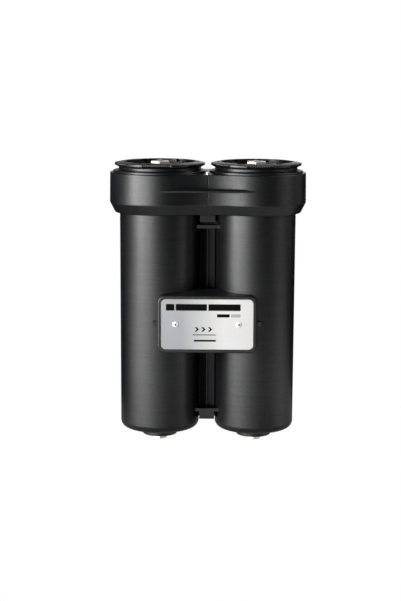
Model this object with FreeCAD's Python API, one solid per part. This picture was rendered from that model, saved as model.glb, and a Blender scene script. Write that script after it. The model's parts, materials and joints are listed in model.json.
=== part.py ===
import FreeCAD
import Part
import math
import os

# Twin-canister magnetic filter for heating pipework.
# Frame: X to the right, Y to the rear, +Z up, millimetres.
# Origin: midway between the two canister axes, in the plane of the drain plugs' lowest faces.
# Small margins such as "+ 1" at the end of a tool carry it past a face or into its neighbour.

Vec = FreeCAD.Vector

# ------------------------------------------------------------------ shared dimensions
CENTRES = 128.0            # distance between the canister axes
CX = CENTRES / 2.0
SIDES = (("left", -CX), ("right", CX))

# canisters
TUBE_R_TOP = 53.7          # outside radius under the collar
TUBE_R_BOT = 53.1          # outside radius at the base (moulding draft)
TUBE_Z0 = 16.9             # outside of the canister floor
TUBE_FLOOR = 6.0
FLOOR_Z = TUBE_Z0 + TUBE_FLOOR
COLLAR_Z0 = 311.3          # underside of the collar
SHOULDER_Z = 364.3         # flat top of the collar

# seats inside each mouth
SLEEVE_SEAT_Z = 332.0
LID_SEAT_Z = 349.0
LID_T = 5.0
LID_TOP_Z = LID_SEAT_Z + LID_T
RING_Z0 = 355.5            # underside of the lock ring

# lid and magnet rod
ROD_R = 5.0
ROD_TOP = 340.0            # upper end of the magnet rod, in the lid
HUB_Z0 = ROD_TOP - 7.0     # underside of the lid's hub, where the magnet stack begins
BLEED_SEAT_Z = 368.4       # top of the lid's centre boss

# drain
BOSS_Z0 = 6.5              # lower face of the drain boss
DRAIN_BUSH_R = 14.0

# nameplate bracket
PLATE_Z = 168.4            # height of the plate's centre
BRACKET_BACK = -25.0       # rear edge, between the canisters
SCREW_HEIGHTS = (PLATE_Z - 22.0, PLATE_Z + 22.0)
POST_R = 6.0               # screw posts on the body and in the bracket

# pipe ports at the rear
PORT_Y = 66.5              # the port faces stand level with the collar
PORT_IN_Z = 272.0
PORT_OUT_Z = 66.0
PORT_INSERT_R = 27.5
PORT_LEN = 22.0

# collar screw
COLLAR_SCREW_Y = -46.0
INSERT_R = 3.2
INSERT_Z0 = SHOULDER_Z - 12


# ------------------------------------------------------------------ helpers
def cylinder(radius, z0, z1, x=0.0, y=0.0):
    return Part.makeCylinder(radius, z1 - z0, Vec(x, y, z0))


def tube(outer_r, inner_r, z0, z1, x=0.0, y=0.0):
    return cylinder(outer_r, z0, z1, x, y).cut(cylinder(inner_r, z0 - 1, z1 + 1, x, y))


def y_cylinder(radius, y0, y1, x, z):
    return Part.makeCylinder(radius, y1 - y0, Vec(x, y0, z), Vec(0, 1, 0))


def x_cylinder(radius, x0, x1, y, z):
    return Part.makeCylinder(radius, x1 - x0, Vec(x0, y, z), Vec(1, 0, 0))


def box(x0, x1, y0, y1, z0, z1):
    """Box between two corners; the x and y limits may come in either order."""
    low = Vec(min(x0, x1), min(y0, y1), z0)
    return Part.makeBox(abs(x1 - x0), abs(y1 - y0), z1 - z0, low)


def centred_box(half_x, half_y, z0, z1):
    return box(-half_x, half_x, -half_y, half_y, z0, z1)


def prism(points, direction):
    return Part.Face(Part.makePolygon(points + [points[0]])).extrude(direction)


def turned(shape, angle, x=0.0):
    """Turn a shape built on the origin about Z, then move it to x."""
    shape.rotate(Vec(0, 0, 0), Vec(0, 0, 1), angle)
    shape.translate(Vec(x, 0, 0))
    return shape


def lathe(profile, x=0.0, y=0.0):
    """Solid of revolution about the vertical through (x, y).
    Profile: (r, z) is a straight step, ((rm, zm), (r, z)) is an arc through (rm, zm)."""
    start = Vec(profile[0][0], 0, profile[0][1])
    here = start
    edges = []
    for item in profile[1:]:
        if isinstance(item[0], tuple):
            (mid_r, mid_z), (r, z) = item
            end = Vec(r, 0, z)
            edges.append(Part.Arc(here, Vec(mid_r, 0, mid_z), end).toShape())
        else:
            end = Vec(item[0], 0, item[1])
            edges.append(Part.makeLine(here, end))
        here = end
    if here.distanceToPoint(start) > 1e-6:
        edges.append(Part.makeLine(here, start))
    solid = Part.Face(Part.Wire(edges)).revolve(Vec(0, 0, 0), Vec(0, 0, 1), 360)
    solid.translate(Vec(x, y, 0))
    return solid


def rounded_base(radius, z, rounding):
    """Start of a lathe profile: a flat base from the axis, then its rounded outer corner."""
    centre_r = radius - rounding
    centre_z = z + rounding
    diagonal = rounding * math.sqrt(0.5)
    return [(0, z), (centre_r, z),
            ((centre_r + diagonal, centre_z - diagonal), (radius, centre_z))]


def chamfered_hex(across_flats, z0, z1, x, turn, top=False, bottom=False):
    """Hexagon with its corners turned down by a cone at one or both ends."""
    corner_r = across_flats / math.sqrt(3.0)
    corners = []
    for i in range(6):
        a = math.radians(turn + 60.0 * i)
        corners.append(Vec(x + corner_r * math.cos(a), corner_r * math.sin(a), z0))
    hexagon = prism(corners, Vec(0, 0, z1 - z0))
    outer_r = corner_r + 0.01
    face_r = across_flats / 2.0 - 0.15
    drop = (outer_r - face_r) * 0.55
    profile = [(0, z0)]
    profile += [(face_r, z0), (outer_r, z0 + drop)] if bottom else [(outer_r, z0)]
    profile += [(outer_r, z1 - drop), (face_r, z1)] if top else [(outer_r, z1)]
    profile += [(0, z1)]
    return hexagon.common(lathe(profile, x))


def fuse(*shapes):
    return shapes[0].multiFuse(list(shapes[1:])).removeSplitter()


def cut(shape, *tools):
    return shape.cut(Part.makeCompound(list(tools)))


def save(name, shape):
    """One STEP file per piece: a lone solid, or a group of separate solids."""
    solids = shape.Solids
    out = solids[0] if len(solids) == 1 else Part.makeCompound(solids)
    if not out.isValid():
        raise ValueError(name + " is not valid")
    out.exportStep("parts/" + name + ".step")


# ------------------------------------------------------------------ twin body
TUBE_BASE_FILLET = 9.8
BORE_R = 47.0              # main bore
BORE_FILLET = 7.0
SEAL_BORE_R = 50.0
THREAD_BORE_R = 55.0
BOSS_R = 23.4              # drain boss
BOSS_EDGE = 1.2

# collar
COLLAR_R = 66.5            # outside radius around each canister axis, at the top
COLLAR_DRAFT = 0.4         # growth of that radius down to the bevel
CHAMFER_Z = 324.7          # top of the lower bevel
CHAMFER_W = 6.6            # inward depth of the lower bevel
EDGE = 0.7                 # edge break along the top
WAIST_R = 105.0            # hollow radius of the waist, front and rear
WAIST_CENTRE_Y = math.sqrt((COLLAR_R + WAIST_R) ** 2 - CX ** 2)
WAIST_Y = WAIST_CENTRE_Y - WAIST_R      # half depth at the waist

# collar outline stations: inward offset, height
BEVEL_IN = CHAMFER_W - COLLAR_DRAFT
COLLAR_SECTIONS = (
    (BEVEL_IN + 0.75, COLLAR_Z0),
    (BEVEL_IN + 0.15, COLLAR_Z0 + 0.35),
    (BEVEL_IN - 0.38, COLLAR_Z0 + 1.0),
    (0.5 - COLLAR_DRAFT, CHAMFER_Z - 1.0),
    (0.2 - COLLAR_DRAFT, CHAMFER_Z - 0.3),
    (0.05 - COLLAR_DRAFT, CHAMFER_Z + 0.3),
    (-COLLAR_DRAFT, CHAMFER_Z + 1.0),
    (0.0, SHOULDER_Z - EDGE),
    (0.1, SHOULDER_Z - EDGE * 0.6),
    (0.34, SHOULDER_Z - EDGE * 0.28),
    (EDGE * 0.8, SHOULDER_Z),
)

# raised lip around each mouth
LIP_R0 = 62.4              # foot of the lip
LIP_WALL_Z = 367.0         # top of its short upright wall
LIP_R1 = 55.8              # top of its cone
LIP_TOP_Z = 368.5
LIP_EDGE = 0.4

# rib across the waist: half length, upper outer edge, section points (y at the front, z)
RIB_HALF = 62.0
RIB_Z = 344.6
RIB_Y = COLLAR_R + 0.3
RIB_PROFILE = ((RIB_Y, RIB_Z - 2.4), (RIB_Y, RIB_Z), (RIB_Y - 1.9, RIB_Z + 1.8),
               (38, RIB_Z + 2.1), (38, RIB_Z - 2.9))

# boxes centred between the canisters: half width, half depth, z0, z1
WEB_AND_FIN = ((16, 4, 31.2, COLLAR_Z0 + 2), (1.0, 8, 35, 295))
LEDGES_AND_BLOCKS = ((15.4, 21, 290.8, 295.4), (10.2, 21, 299.5, COLLAR_Z0 + 2),
                     (15.4, 21, 41.3, 45.9), (10.2, 21, 31.2, 42.5))
SIDE_FIN_X = (7.8, 10.0)
SIDE_FIN_Z = (45, 291.5)
SIDE_FIN_HALF_Y = 10

POST_HOLE_R = 2.0
PORT_BOSS_R = 33.0
PORT_BOSS_Y0 = 2
PORT_BEVEL = 1.5
PORT_CONE_REACH = 60       # the bevelling cone widens this far, clear of the boss
PORT_RIB_HALF = 3
PORT_RIB_BACK = 46
PORT_HOLE_R = 19.0         # hole ahead of the insert
PORT_HOLE_Y0 = 20
CROSS_HOLE_R = 11.5        # hole along X into both canisters
CROSS_HOLE_HALF = 42
CROSS_HOLE_Y = 24.0

POCKET_X = (4.2, 8.6)      # pockets beside the collar screw
POCKET_Y = (COLLAR_SCREW_Y - 3.5, COLLAR_SCREW_Y + 2.5)
POCKET_DEPTH = 4
GROOVE_HALF = 0.35
# parting grooves at the waist: depth, z0, z1
GROOVES = ((0.15, CHAMFER_Z + 1.2, RIB_Z - 3.0), (0.35, RIB_Z + 2.6, SHOULDER_Z - 1.2))


def collar_wire(inset, z):
    """Waisted outline: a round end about each axis, and a hollow arc tangent to both ends,
    front and rear."""
    end_r = COLLAR_R - inset
    waist_r = WAIST_R + inset
    share = end_r / (end_r + waist_r)
    join_x = CX - CX * share
    join_y = WAIST_CENTRE_Y * share
    waist_y = WAIST_CENTRE_Y - waist_r

    def arc(*points):
        return Part.Arc(*[Vec(x, y, z) for x, y in points]).toShape()

    return Part.Wire([
        arc((-join_x, -join_y), (0, -waist_y), (join_x, -join_y)),
        arc((join_x, -join_y), (CX + end_r, 0), (join_x, join_y)),
        arc((join_x, join_y), (0, waist_y), (-join_x, join_y)),
        arc((-join_x, join_y), (-CX - end_r, 0), (-join_x, -join_y)),
    ])


def port_boss(z):
    """Boss with a bevelled rear edge."""
    boss = y_cylinder(PORT_BOSS_R, PORT_BOSS_Y0, PORT_Y, 0, z)
    length = PORT_CONE_REACH + PORT_BEVEL
    return boss.common(Part.makeCone(PORT_BOSS_R + PORT_CONE_REACH, PORT_BOSS_R - PORT_BEVEL,
                                     length, Vec(0, PORT_Y - length, z), Vec(0, 1, 0)))


def body_solids():
    adds = []
    for _, x in SIDES:
        # canister with a drafted wall and a rounded base
        adds.append(lathe(rounded_base(TUBE_R_BOT, TUBE_Z0, TUBE_BASE_FILLET)
                          + [(TUBE_R_TOP, COLLAR_Z0 + 4), (0, COLLAR_Z0 + 4)], x))
        # drain boss
        adds.append(lathe(rounded_base(BOSS_R, BOSS_Z0, BOSS_EDGE)
                          + [(BOSS_R, TUBE_Z0 + 1), (0, TUBE_Z0 + 1)], x))
        # lip: short wall, then a cone
        adds.append(lathe([(0, SHOULDER_Z - 2), (LIP_R0, SHOULDER_Z - 2),
                           (LIP_R0, LIP_WALL_Z - LIP_EDGE), (LIP_R0 - LIP_EDGE, LIP_WALL_Z),
                           (LIP_R1, LIP_TOP_Z), (0, LIP_TOP_Z)], x))
    # collar, its edges rounded by small facets
    adds.append(Part.makeLoft([collar_wire(*s) for s in COLLAR_SECTIONS], True, True))
    for sign in (-1, 1):
        adds.append(prism([Vec(-RIB_HALF, sign * y, z) for y, z in RIB_PROFILE],
                          Vec(2 * RIB_HALF, 0, 0)))
    adds += [centred_box(*size) for size in WEB_AND_FIN]
    for sign in (-1, 1):
        adds.append(box(sign * SIDE_FIN_X[0], sign * SIDE_FIN_X[1],
                        -SIDE_FIN_HALF_Y, SIDE_FIN_HALF_Y, *SIDE_FIN_Z))
    adds += [centred_box(*size) for size in LEDGES_AND_BLOCKS]
    # posts that take the bracket screws
    adds += [y_cylinder(POST_R, BRACKET_BACK, 0, 0, z) for z in SCREW_HEIGHTS]
    # pipe bosses and the rib between them
    adds += [port_boss(z) for z in (PORT_IN_Z, PORT_OUT_Z)]
    adds.append(box(-PORT_RIB_HALF, PORT_RIB_HALF, PORT_BOSS_Y0, PORT_RIB_BACK,
                    PORT_OUT_Z, PORT_IN_Z))
    return adds


def body_cutters():
    cuts = []
    for _, x in SIDES:
        # main bore with a rounded floor, the two wider bores above it, the drain opening
        cuts.append(lathe(rounded_base(BORE_R, FLOOR_Z, BORE_FILLET)
                          + [(BORE_R, SLEEVE_SEAT_Z + 1), (0, SLEEVE_SEAT_Z + 1)], x))
        cuts.append(cylinder(SEAL_BORE_R, SLEEVE_SEAT_Z, LID_SEAT_Z + 1, x))
        cuts.append(cylinder(THREAD_BORE_R, LID_SEAT_Z, LIP_TOP_Z + 5, x))
        cuts.append(cylinder(DRAIN_BUSH_R, BOSS_Z0 - 1, FLOOR_Z + 1, x))
    for z in (PORT_IN_Z, PORT_OUT_Z):
        cuts.append(y_cylinder(PORT_INSERT_R, PORT_Y - PORT_LEN, PORT_Y + 1, 0, z))
        cuts.append(y_cylinder(PORT_HOLE_R, PORT_HOLE_Y0, PORT_Y, 0, z))
        cuts.append(x_cylinder(CROSS_HOLE_R, -CROSS_HOLE_HALF, CROSS_HOLE_HALF,
                               CROSS_HOLE_Y, z))
    for sign in (-1, 1):
        cuts.append(box(sign * POCKET_X[0], sign * POCKET_X[1], *POCKET_Y,
                        SHOULDER_Z - POCKET_DEPTH, SHOULDER_Z + 1))
    cuts.append(cylinder(INSERT_R, INSERT_Z0, SHOULDER_Z + 1, 0, COLLAR_SCREW_Y))
    for z in SCREW_HEIGHTS:
        cuts.append(y_cylinder(POST_HOLE_R, BRACKET_BACK - 1, -3, 0, z))
    for sign in (-1, 1):
        for depth, z0, z1 in GROOVES:
            cuts.append(box(-GROOVE_HALF, GROOVE_HALF,
                            sign * (WAIST_Y - depth), sign * (WAIST_Y + 3), z0, z1))
    return cuts


def make_body():
    return cut(fuse(*body_solids()), *body_cutters())


# ------------------------------------------------------------------ lock ring and slip washer
RING_NECK_R = 54.95
RING_NECK_EDGE = 0.8
RING_BORE_R = 47.5
RING_TOP_Z = 378.6
RING_DISH = 1.6            # fall of the top face from the bore to the outer edge
RING_FLAT_R = RING_BORE_R + 3.0         # where that fall begins
RING_FLANGE_T = 9.0        # height of the flange blank
RING_LOBE_R = 60.3
RING_KNURL_R = 59.5
KNURL_DEPTH = 0.9
KNURL_CREST = (0.28, 0.72) # crest of a rib, as shares of its pitch
LOBE_DEG = 24.0            # width of each smooth lobe
LOBE_RAMP_DEG = 0.9
KNURLS = 12                # ribs in each of the six ribbed sections
RING_TURN = {"left": -92.5, "right": -84.4}   # direction of one ribbed section's middle
NOTCH_OUT = 4.2            # spanner notch beyond the bore
NOTCH_HALF = 5.5
NOTCH_DEPTH = 4.5
WASHER_RO = 54.5
WASHER_RI = 47.7


def polar(radius, degrees, z=0):
    a = math.radians(degrees)
    return Vec(radius * math.cos(a), radius * math.sin(a), z)


def ring_outline(turn):
    """Outline of the flange: six smooth lobes with ribbed sections between them."""
    half = (60.0 - LOBE_DEG) / 2.0
    step = 2.0 * half / KNURLS
    root_r = RING_KNURL_R - KNURL_DEPTH
    edges = []
    for k in range(6):
        middle = turn + 60.0 * k
        here = polar(root_r, middle - half)
        for i in range(KNURLS):
            a = middle - half + step * i
            for point in (polar(RING_KNURL_R, a + step * KNURL_CREST[0]),
                          polar(RING_KNURL_R, a + step * KNURL_CREST[1]),
                          polar(root_r, a + step)):
                edges.append(Part.makeLine(here, point))
                here = point
        start = polar(RING_LOBE_R, middle + half + LOBE_RAMP_DEG)
        end = polar(RING_LOBE_R, middle + 60.0 - half - LOBE_RAMP_DEG)
        edges.append(Part.makeLine(here, start))
        edges.append(Part.Arc(start, polar(RING_LOBE_R, middle + 30.0), end).toShape())
        edges.append(Part.makeLine(end, polar(root_r, middle + 60.0 - half)))
    return Part.Wire(edges)


def flange_envelope(neck_drop, edge_r, edge_drop, edge_break, top_r):
    """Bevelled underside, upright edge and dished top; drops are measured from the top."""
    top = RING_TOP_Z
    return lathe([(0, top - neck_drop), (RING_NECK_R, top - neck_drop),
                  (edge_r, top - edge_drop), (edge_r, top - RING_DISH - edge_break),
                  (top_r, top - RING_DISH), (RING_FLAT_R, top), (0, top)])


def make_ring(turn):
    top = RING_TOP_Z
    flange = Part.Face(ring_outline(turn)).extrude(Vec(0, 0, RING_FLANGE_T))
    flange.translate(Vec(0, 0, top - RING_FLANGE_T))
    ribbed = flange.common(flange_envelope(6.8, RING_KNURL_R + 0.02, 3.6, 0.5,
                                           RING_KNURL_R - 0.6))
    # lobes: deeper, slightly prouder
    lobe_envelope = flange_envelope(7.1, RING_LOBE_R + 0.5, 4.7, 0.9, RING_LOBE_R - 0.8)
    lobe_middles = [turn + 60.0 * k + 30.0 for k in range(6)]
    lobes = []
    for middle in lobe_middles:
        wedge = prism([Vec(0, 0, top - 12), polar(90.0, middle - LOBE_DEG / 2.0, top - 12),
                       polar(90.0, middle + LOBE_DEG / 2.0, top - 12)], Vec(0, 0, 14))
        lobes.append(flange.common(lobe_envelope).common(wedge))
    neck = lathe([(0, RING_Z0), (RING_NECK_R - RING_NECK_EDGE, RING_Z0),
                  (RING_NECK_R, RING_Z0 + RING_NECK_EDGE),
                  (RING_NECK_R, top - 5.0), (0, top - 5.0)])
    # bore with a 45-degree bevel at its upper edge
    cuts = [lathe([(0, RING_Z0 - 1), (RING_BORE_R, RING_Z0 - 1), (RING_BORE_R, top - 1.0),
                   (RING_BORE_R + 1.6, top + 0.6), (0, top + 0.6)])]
    # spanner notches in the inner edge, one in line with each lobe
    for middle in lobe_middles:
        cuts.append(turned(box(RING_BORE_R - 2, RING_BORE_R + NOTCH_OUT,
                               -NOTCH_HALF, NOTCH_HALF, top - NOTCH_DEPTH, top + 1), middle))
    return cut(fuse(neck, ribbed, *lobes), *cuts)


# ------------------------------------------------------------------ lid and its O-ring
LID_FLANGE_R = 54.6
LID_EDGE = 0.6
LID_PLUG_R = 49.95
LID_PLUG_RI = 45.2
LID_PLUG_Z0 = 337.0
HUB_R = 15.5
LID_BOSS_R0 = 19           # foot of the centre boss
LID_BOSS_R1 = 17           # top of the centre boss
LID_RIB_HALF = 1.5
# upper rib section: radius, height above the lid's top face
LID_RIB_PROFILE = ((12, -1), (46.6, -1), (46.6, 3), (17, 10), (12, 10))
LOW_RIB_R = (14, 46)
LOW_RIB_H = 8
BLEED_R = 8.0              # stem of the bleed body, and its hole in the lid
VENT_R = 1.6               # hole through the hub along X
VENT_Z = ROD_TOP + 4.4
ORING_Z = 342.8
ORING_R = 48.35            # radius to the centre of the cord
ORING_CORD_R = 1.6
GROOVE_RI = 46.7           # O-ring groove
GROOVE_RO = 51.0
GROOVE_HALF_H = 1.9


def make_lid(x):
    boss_z = BLEED_SEAT_Z
    parts = [
        lathe([(0, LID_SEAT_Z), (LID_FLANGE_R, LID_SEAT_Z), (LID_FLANGE_R, LID_TOP_Z - LID_EDGE),
               (LID_FLANGE_R - LID_EDGE, LID_TOP_Z), (0, LID_TOP_Z)], x),
        tube(LID_PLUG_R, LID_PLUG_RI, LID_PLUG_Z0, LID_SEAT_Z + 1, x),
        cylinder(HUB_R, HUB_Z0, LID_SEAT_Z + 1, x),
        lathe([(0, LID_TOP_Z - 1), (LID_BOSS_R0, LID_TOP_Z - 1), (LID_BOSS_R1, boss_z - LID_EDGE),
               (LID_BOSS_R1 - LID_EDGE, boss_z), (0, boss_z)], x),
    ]
    for k in range(6):
        angle = 60.0 * k + 30.0
        rib = prism([Vec(r, -LID_RIB_HALF, LID_TOP_Z + h) for r, h in LID_RIB_PROFILE],
                    Vec(0, 2 * LID_RIB_HALF, 0))
        low_rib = box(*LOW_RIB_R, -LID_RIB_HALF, LID_RIB_HALF,
                      LID_SEAT_Z - LOW_RIB_H, LID_SEAT_Z + 1)
        parts += [turned(rib, angle, x), turned(low_rib, angle, x)]
    groove_z0 = ORING_Z - GROOVE_HALF_H
    groove_z1 = ORING_Z + GROOVE_HALF_H
    return cut(fuse(*parts),
               cylinder(BLEED_R, ROD_TOP + 2.0, boss_z + 3, x),
               cylinder(ROD_R, ROD_TOP - 14.0, ROD_TOP, x),
               x_cylinder(VENT_R, x - 17, x + 17, 0, VENT_Z),
               lathe([(GROOVE_RI, groove_z0), (GROOVE_RO, groove_z0),
                      (GROOVE_RO, groove_z1), (GROOVE_RI, groove_z1)], x))


# ------------------------------------------------------------------ bleed fitting
HEX_BLEED = 22.0           # across flats
BLEED_TOP = 376.6
BLEED_BORE_R = 5.0
BLEED_HOLE_R = 2.4         # narrow hole below the bore
BLEED_SIDE_HOLE_R = 1.2
BLEED_FLANGE_T = 1.0
BLEED_FLANGE_R = 12.2
BLEED_WASHER_R = 12.0
BLEED_WASHER_Z1 = BLEED_SEAT_Z + 1.4
BLEED_SCREW_R = 4.95
BLEED_TIP_R = 2.6
BLEED_TIP_L = 2.35
BLEED_HEAD_Z = BLEED_TOP + 0.1          # underside of the screw's head
BLEED_HEAD_R = 6.6


def make_bleed_body(x):
    z = BLEED_WASHER_Z1
    body = fuse(cylinder(BLEED_R, ROD_TOP + 6.0, z + 0.2, x),
                cylinder(BLEED_FLANGE_R, z, z + BLEED_FLANGE_T, x),
                chamfered_hex(HEX_BLEED, z + BLEED_FLANGE_T, BLEED_TOP, x, 90.0, top=True))
    return cut(body,
               cylinder(BLEED_BORE_R, BLEED_TOP - 15.0, BLEED_TOP + 1, x),
               cylinder(BLEED_HOLE_R, ROD_TOP + 4, BLEED_TOP - 14, x),
               x_cylinder(BLEED_SIDE_HOLE_R, x + 3, x + 14, 0, BLEED_TOP - 3.0))


def make_bleed_screw(x):
    """Slotted, domed screw with a conical tip."""
    z = BLEED_HEAD_Z
    shank_z0 = z - 12.1
    screw = fuse(cylinder(BLEED_SCREW_R, shank_z0, z + 0.2, x),
                 Part.makeCone(BLEED_TIP_R, BLEED_SCREW_R, BLEED_TIP_L,
                               Vec(x, 0, shank_z0 - BLEED_TIP_L)),
                 lathe([(0, z), (BLEED_HEAD_R, z), (BLEED_HEAD_R, z + 0.8),
                        ((4.7, z + 2.6), (0, z + 3.4))], x))
    return cut(screw, box(x - 8, x + 8, -0.6, 0.6, z + 2.2, z + 5))


# ------------------------------------------------------------------ magnets, rod and sleeve
MAGNET_R = 15.0            # pole plates; the magnets are a little smaller
MAGNET_INSET = 0.3
MAGNET_L = 30.0
MAGNET_COUNT = 8
POLE_T = 4.0
STACK_PITCH = MAGNET_L + POLE_T
STACK_Z0 = HUB_Z0 - MAGNET_COUNT * STACK_PITCH - POLE_T
ROD_Z0 = STACK_Z0 - 12
ROD_EDGE = 0.8
NUT_H = 8
HEX_NUT = 17.0             # across flats
SLEEVE_RI = 15.6
SLEEVE_RO = 17.2
SLEEVE_Z0 = 34.0
SLEEVE_FLOOR = 2.0
SLEEVE_FLANGE_T = 4.9
SLEEVE_RIM_RO = 49.7
SLEEVE_RIM_RI = 44.6
SLEEVE_HUB_R = 20.5
SPOKE_R = (18, 46)
SPOKE_HALF = 3
SPOKE_T = 4.0


def make_rod(x):
    return lathe([(0, ROD_Z0), (ROD_R - ROD_EDGE, ROD_Z0), (ROD_R, ROD_Z0 + ROD_EDGE),
                  (ROD_R, ROD_TOP - ROD_EDGE), (ROD_R - ROD_EDGE, ROD_TOP), (0, ROD_TOP)], x)


def make_stack(radius, length, top_z, count, x):
    """Discs threaded on the rod, one per stack pitch downwards from top_z."""
    tops = [top_z - STACK_PITCH * i for i in range(count)]
    return Part.makeCompound([tube(radius, ROD_R, z - length, z, x) for z in tops])


def make_rod_nut(x):
    nut = chamfered_hex(HEX_NUT, STACK_Z0 - NUT_H, STACK_Z0, x, 0.0, top=True, bottom=True)
    return cut(nut, cylinder(ROD_R, STACK_Z0 - NUT_H - 1, STACK_Z0 + 1, x))


def make_sleeve(x):
    """Closed tube on a spoked flange."""
    z = SLEEVE_SEAT_Z
    parts = [tube(SLEEVE_RIM_RO, SLEEVE_RIM_RI, z, z + SLEEVE_FLANGE_T, x),
             cylinder(SLEEVE_HUB_R, z, z + SLEEVE_FLANGE_T, x),
             cylinder(SLEEVE_RO, SLEEVE_Z0, z + 1, x)]
    for k in range(6):
        spoke = box(*SPOKE_R, -SPOKE_HALF, SPOKE_HALF, z, z + SPOKE_T)
        parts.append(turned(spoke, 60.0 * k, x))
    return cut(fuse(*parts), cylinder(SLEEVE_RI, SLEEVE_Z0 + SLEEVE_FLOOR, z + 8, x))


# ------------------------------------------------------------------ drain
HEX_DRAIN = 18.4           # across flats
DRAIN_HEX_H = 5.0
DRAIN_STEM_R = 8.2
DRAIN_STEM_EDGE = 0.8
DRAIN_SEAL_R = 10.6


def make_drain_plug(x):
    top = FLOOR_Z - 1
    edge = DRAIN_STEM_EDGE
    base = DRAIN_HEX_H - 0.5
    return fuse(chamfered_hex(HEX_DRAIN, 0.0, DRAIN_HEX_H, x, 90.0, bottom=True),
                lathe([(0, base), (DRAIN_STEM_R, base), (DRAIN_STEM_R, top - edge),
                       (DRAIN_STEM_R - edge, top), (0, top)], x))


# ------------------------------------------------------------------ bracket and nameplate
PLATE = (122.0, 67.4, 6.5) # width, height, corner radius
PLATE_T = 1.2
PLATE_EDGE = 0.25
PLATE_GAP = 0.3            # play around the plate in its recess
BRACKET = (130.0, 76.4, 10.0)           # width, height, corner radius of the bezel
BRACKET_Y = -61.0          # front plane of the bezel
BRACKET_FLARE = 4.4        # how much each side grows towards the canisters
BRACKET_WALL = 3.4
BEZEL_EDGE = 1.4           # rounding of the bezel's front edge
BEZEL_MID = BEZEL_EDGE * (1 - math.sqrt(0.5))
RECESS_Y = BRACKET_Y + PLATE_T + 0.9    # face the plate lies on
PLATE_Y = RECESS_Y - PLATE_T            # front of the plate
TUBE_GAP = 0.05            # play between bracket and canisters
TAB_X = (63.0, 71.5)
TAB_Y = (-56.6, -50.0)
TAB_HALF_H = 3.2
RIVET_X = 41.8
RIVET_R = 3.9
RIVET_SHANK_R = 2.0
RIVET_BORE_R = 0.9
SCREW_HOLE_R = 2.5
SCREW_SINK_R = 4.6
SCREW_SINK = 3.4           # depth of the head's recess behind the plate
SCREW_HEAD_R = 4.4
SCREW_R = 2.0


def rounded_wire(size, growth, y):
    """Rounded rectangle grown all round, at constant y, centred on x = 0 and PLATE_Z."""
    width, height, corner_r = size
    a = width / 2.0 + growth
    b = height / 2.0 + growth
    r = corner_r + growth
    k = r * (1 - math.sqrt(0.5))

    def points(*pairs):
        return [Vec(x, y, PLATE_Z + z) for x, z in pairs]

    def line(*pairs):
        return Part.makeLine(*points(*pairs))

    def arc(*pairs):
        return Part.Arc(*points(*pairs)).toShape()

    return Part.Wire([
        line((-a + r, -b), (a - r, -b)),
        arc((a - r, -b), (a - k, -b + k), (a, -b + r)),
        line((a, -b + r), (a, b - r)),
        arc((a, b - r), (a - k, b - k), (a - r, b)),
        line((a - r, b), (-a + r, b)),
        arc((-a + r, b), (-a + k, b - k), (-a, b - r)),
        line((-a, b - r), (-a, -b + r)),
        arc((-a, -b + r), (-a + k, -b + k), (-a + r, -b)),
    ])


def rounded_loft(size, *sections):
    """Ruled solid through rounded rectangles: sections are (growth, y)."""
    return Part.makeLoft([rounded_wire(size, *s) for s in sections], True, True)


def make_bracket():
    outer = rounded_loft(BRACKET, (-BEZEL_EDGE, BRACKET_Y), (-BEZEL_MID, BRACKET_Y + BEZEL_MID),
                         (0, BRACKET_Y + BEZEL_EDGE), (BRACKET_FLARE, BRACKET_BACK))
    inner = rounded_loft(BRACKET, (-BRACKET_WALL, RECESS_Y + 3.2),
                         (BRACKET_FLARE - BRACKET_WALL, -20.0))
    posts = [y_cylinder(POST_R, RECESS_Y + 1, BRACKET_BACK, 0, z) for z in SCREW_HEIGHTS]
    tabs = [box(s * TAB_X[0], s * TAB_X[1], *TAB_Y, PLATE_Z - TAB_HALF_H, PLATE_Z + TAB_HALF_H)
            for s in (-1, 1)]
    bracket = fuse(outer.cut(inner), *posts, *tabs)

    recess = Part.Face(rounded_wire(PLATE, PLATE_GAP, BRACKET_Y - 1))
    cuts = [recess.extrude(Vec(0, RECESS_Y - BRACKET_Y + 1, 0))]
    for _, x in SIDES:
        cuts.append(Part.makeCone(TUBE_R_BOT + TUBE_GAP, TUBE_R_TOP + TUBE_GAP,
                                  COLLAR_Z0 - TUBE_Z0, Vec(x, 0, TUBE_Z0)))
    for z in SCREW_HEIGHTS:
        cuts.append(y_cylinder(SCREW_HOLE_R, RECESS_Y - 1, -20, 0, z))
        cuts.append(y_cylinder(SCREW_SINK_R, RECESS_Y - 1, RECESS_Y + SCREW_SINK, 0, z))
    for sign in (-1, 1):
        cuts.append(y_cylinder(RIVET_SHANK_R, RECESS_Y - 1, -40, sign * RIVET_X, PLATE_Z))
    return cut(bracket, *cuts)


def make_plate():
    plate = rounded_loft(PLATE, (-PLATE_EDGE, PLATE_Y), (0, PLATE_Y + PLATE_EDGE), (0, RECESS_Y))
    return cut(plate, *[y_cylinder(RIVET_SHANK_R, PLATE_Y - 1, RECESS_Y + 1, s * RIVET_X, PLATE_Z)
                        for s in (-1, 1)])


def make_rivet(x):
    """Domed rivet with a blind hole in its front."""
    dome = lathe([(0, 0), (RIVET_R, 0), (RIVET_R, 0.3), ((RIVET_R * 0.74, 1.15), (0, 1.7))])
    dome.rotate(Vec(0, 0, 0), Vec(1, 0, 0), 90)
    dome.translate(Vec(x, PLATE_Y, PLATE_Z))
    rivet = fuse(dome, y_cylinder(RIVET_SHANK_R, PLATE_Y - 0.2, RECESS_Y + 3.2, x, PLATE_Z))
    return cut(rivet, y_cylinder(RIVET_BORE_R, PLATE_Y - 3, PLATE_Y + 1.4, x, PLATE_Z))


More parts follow.
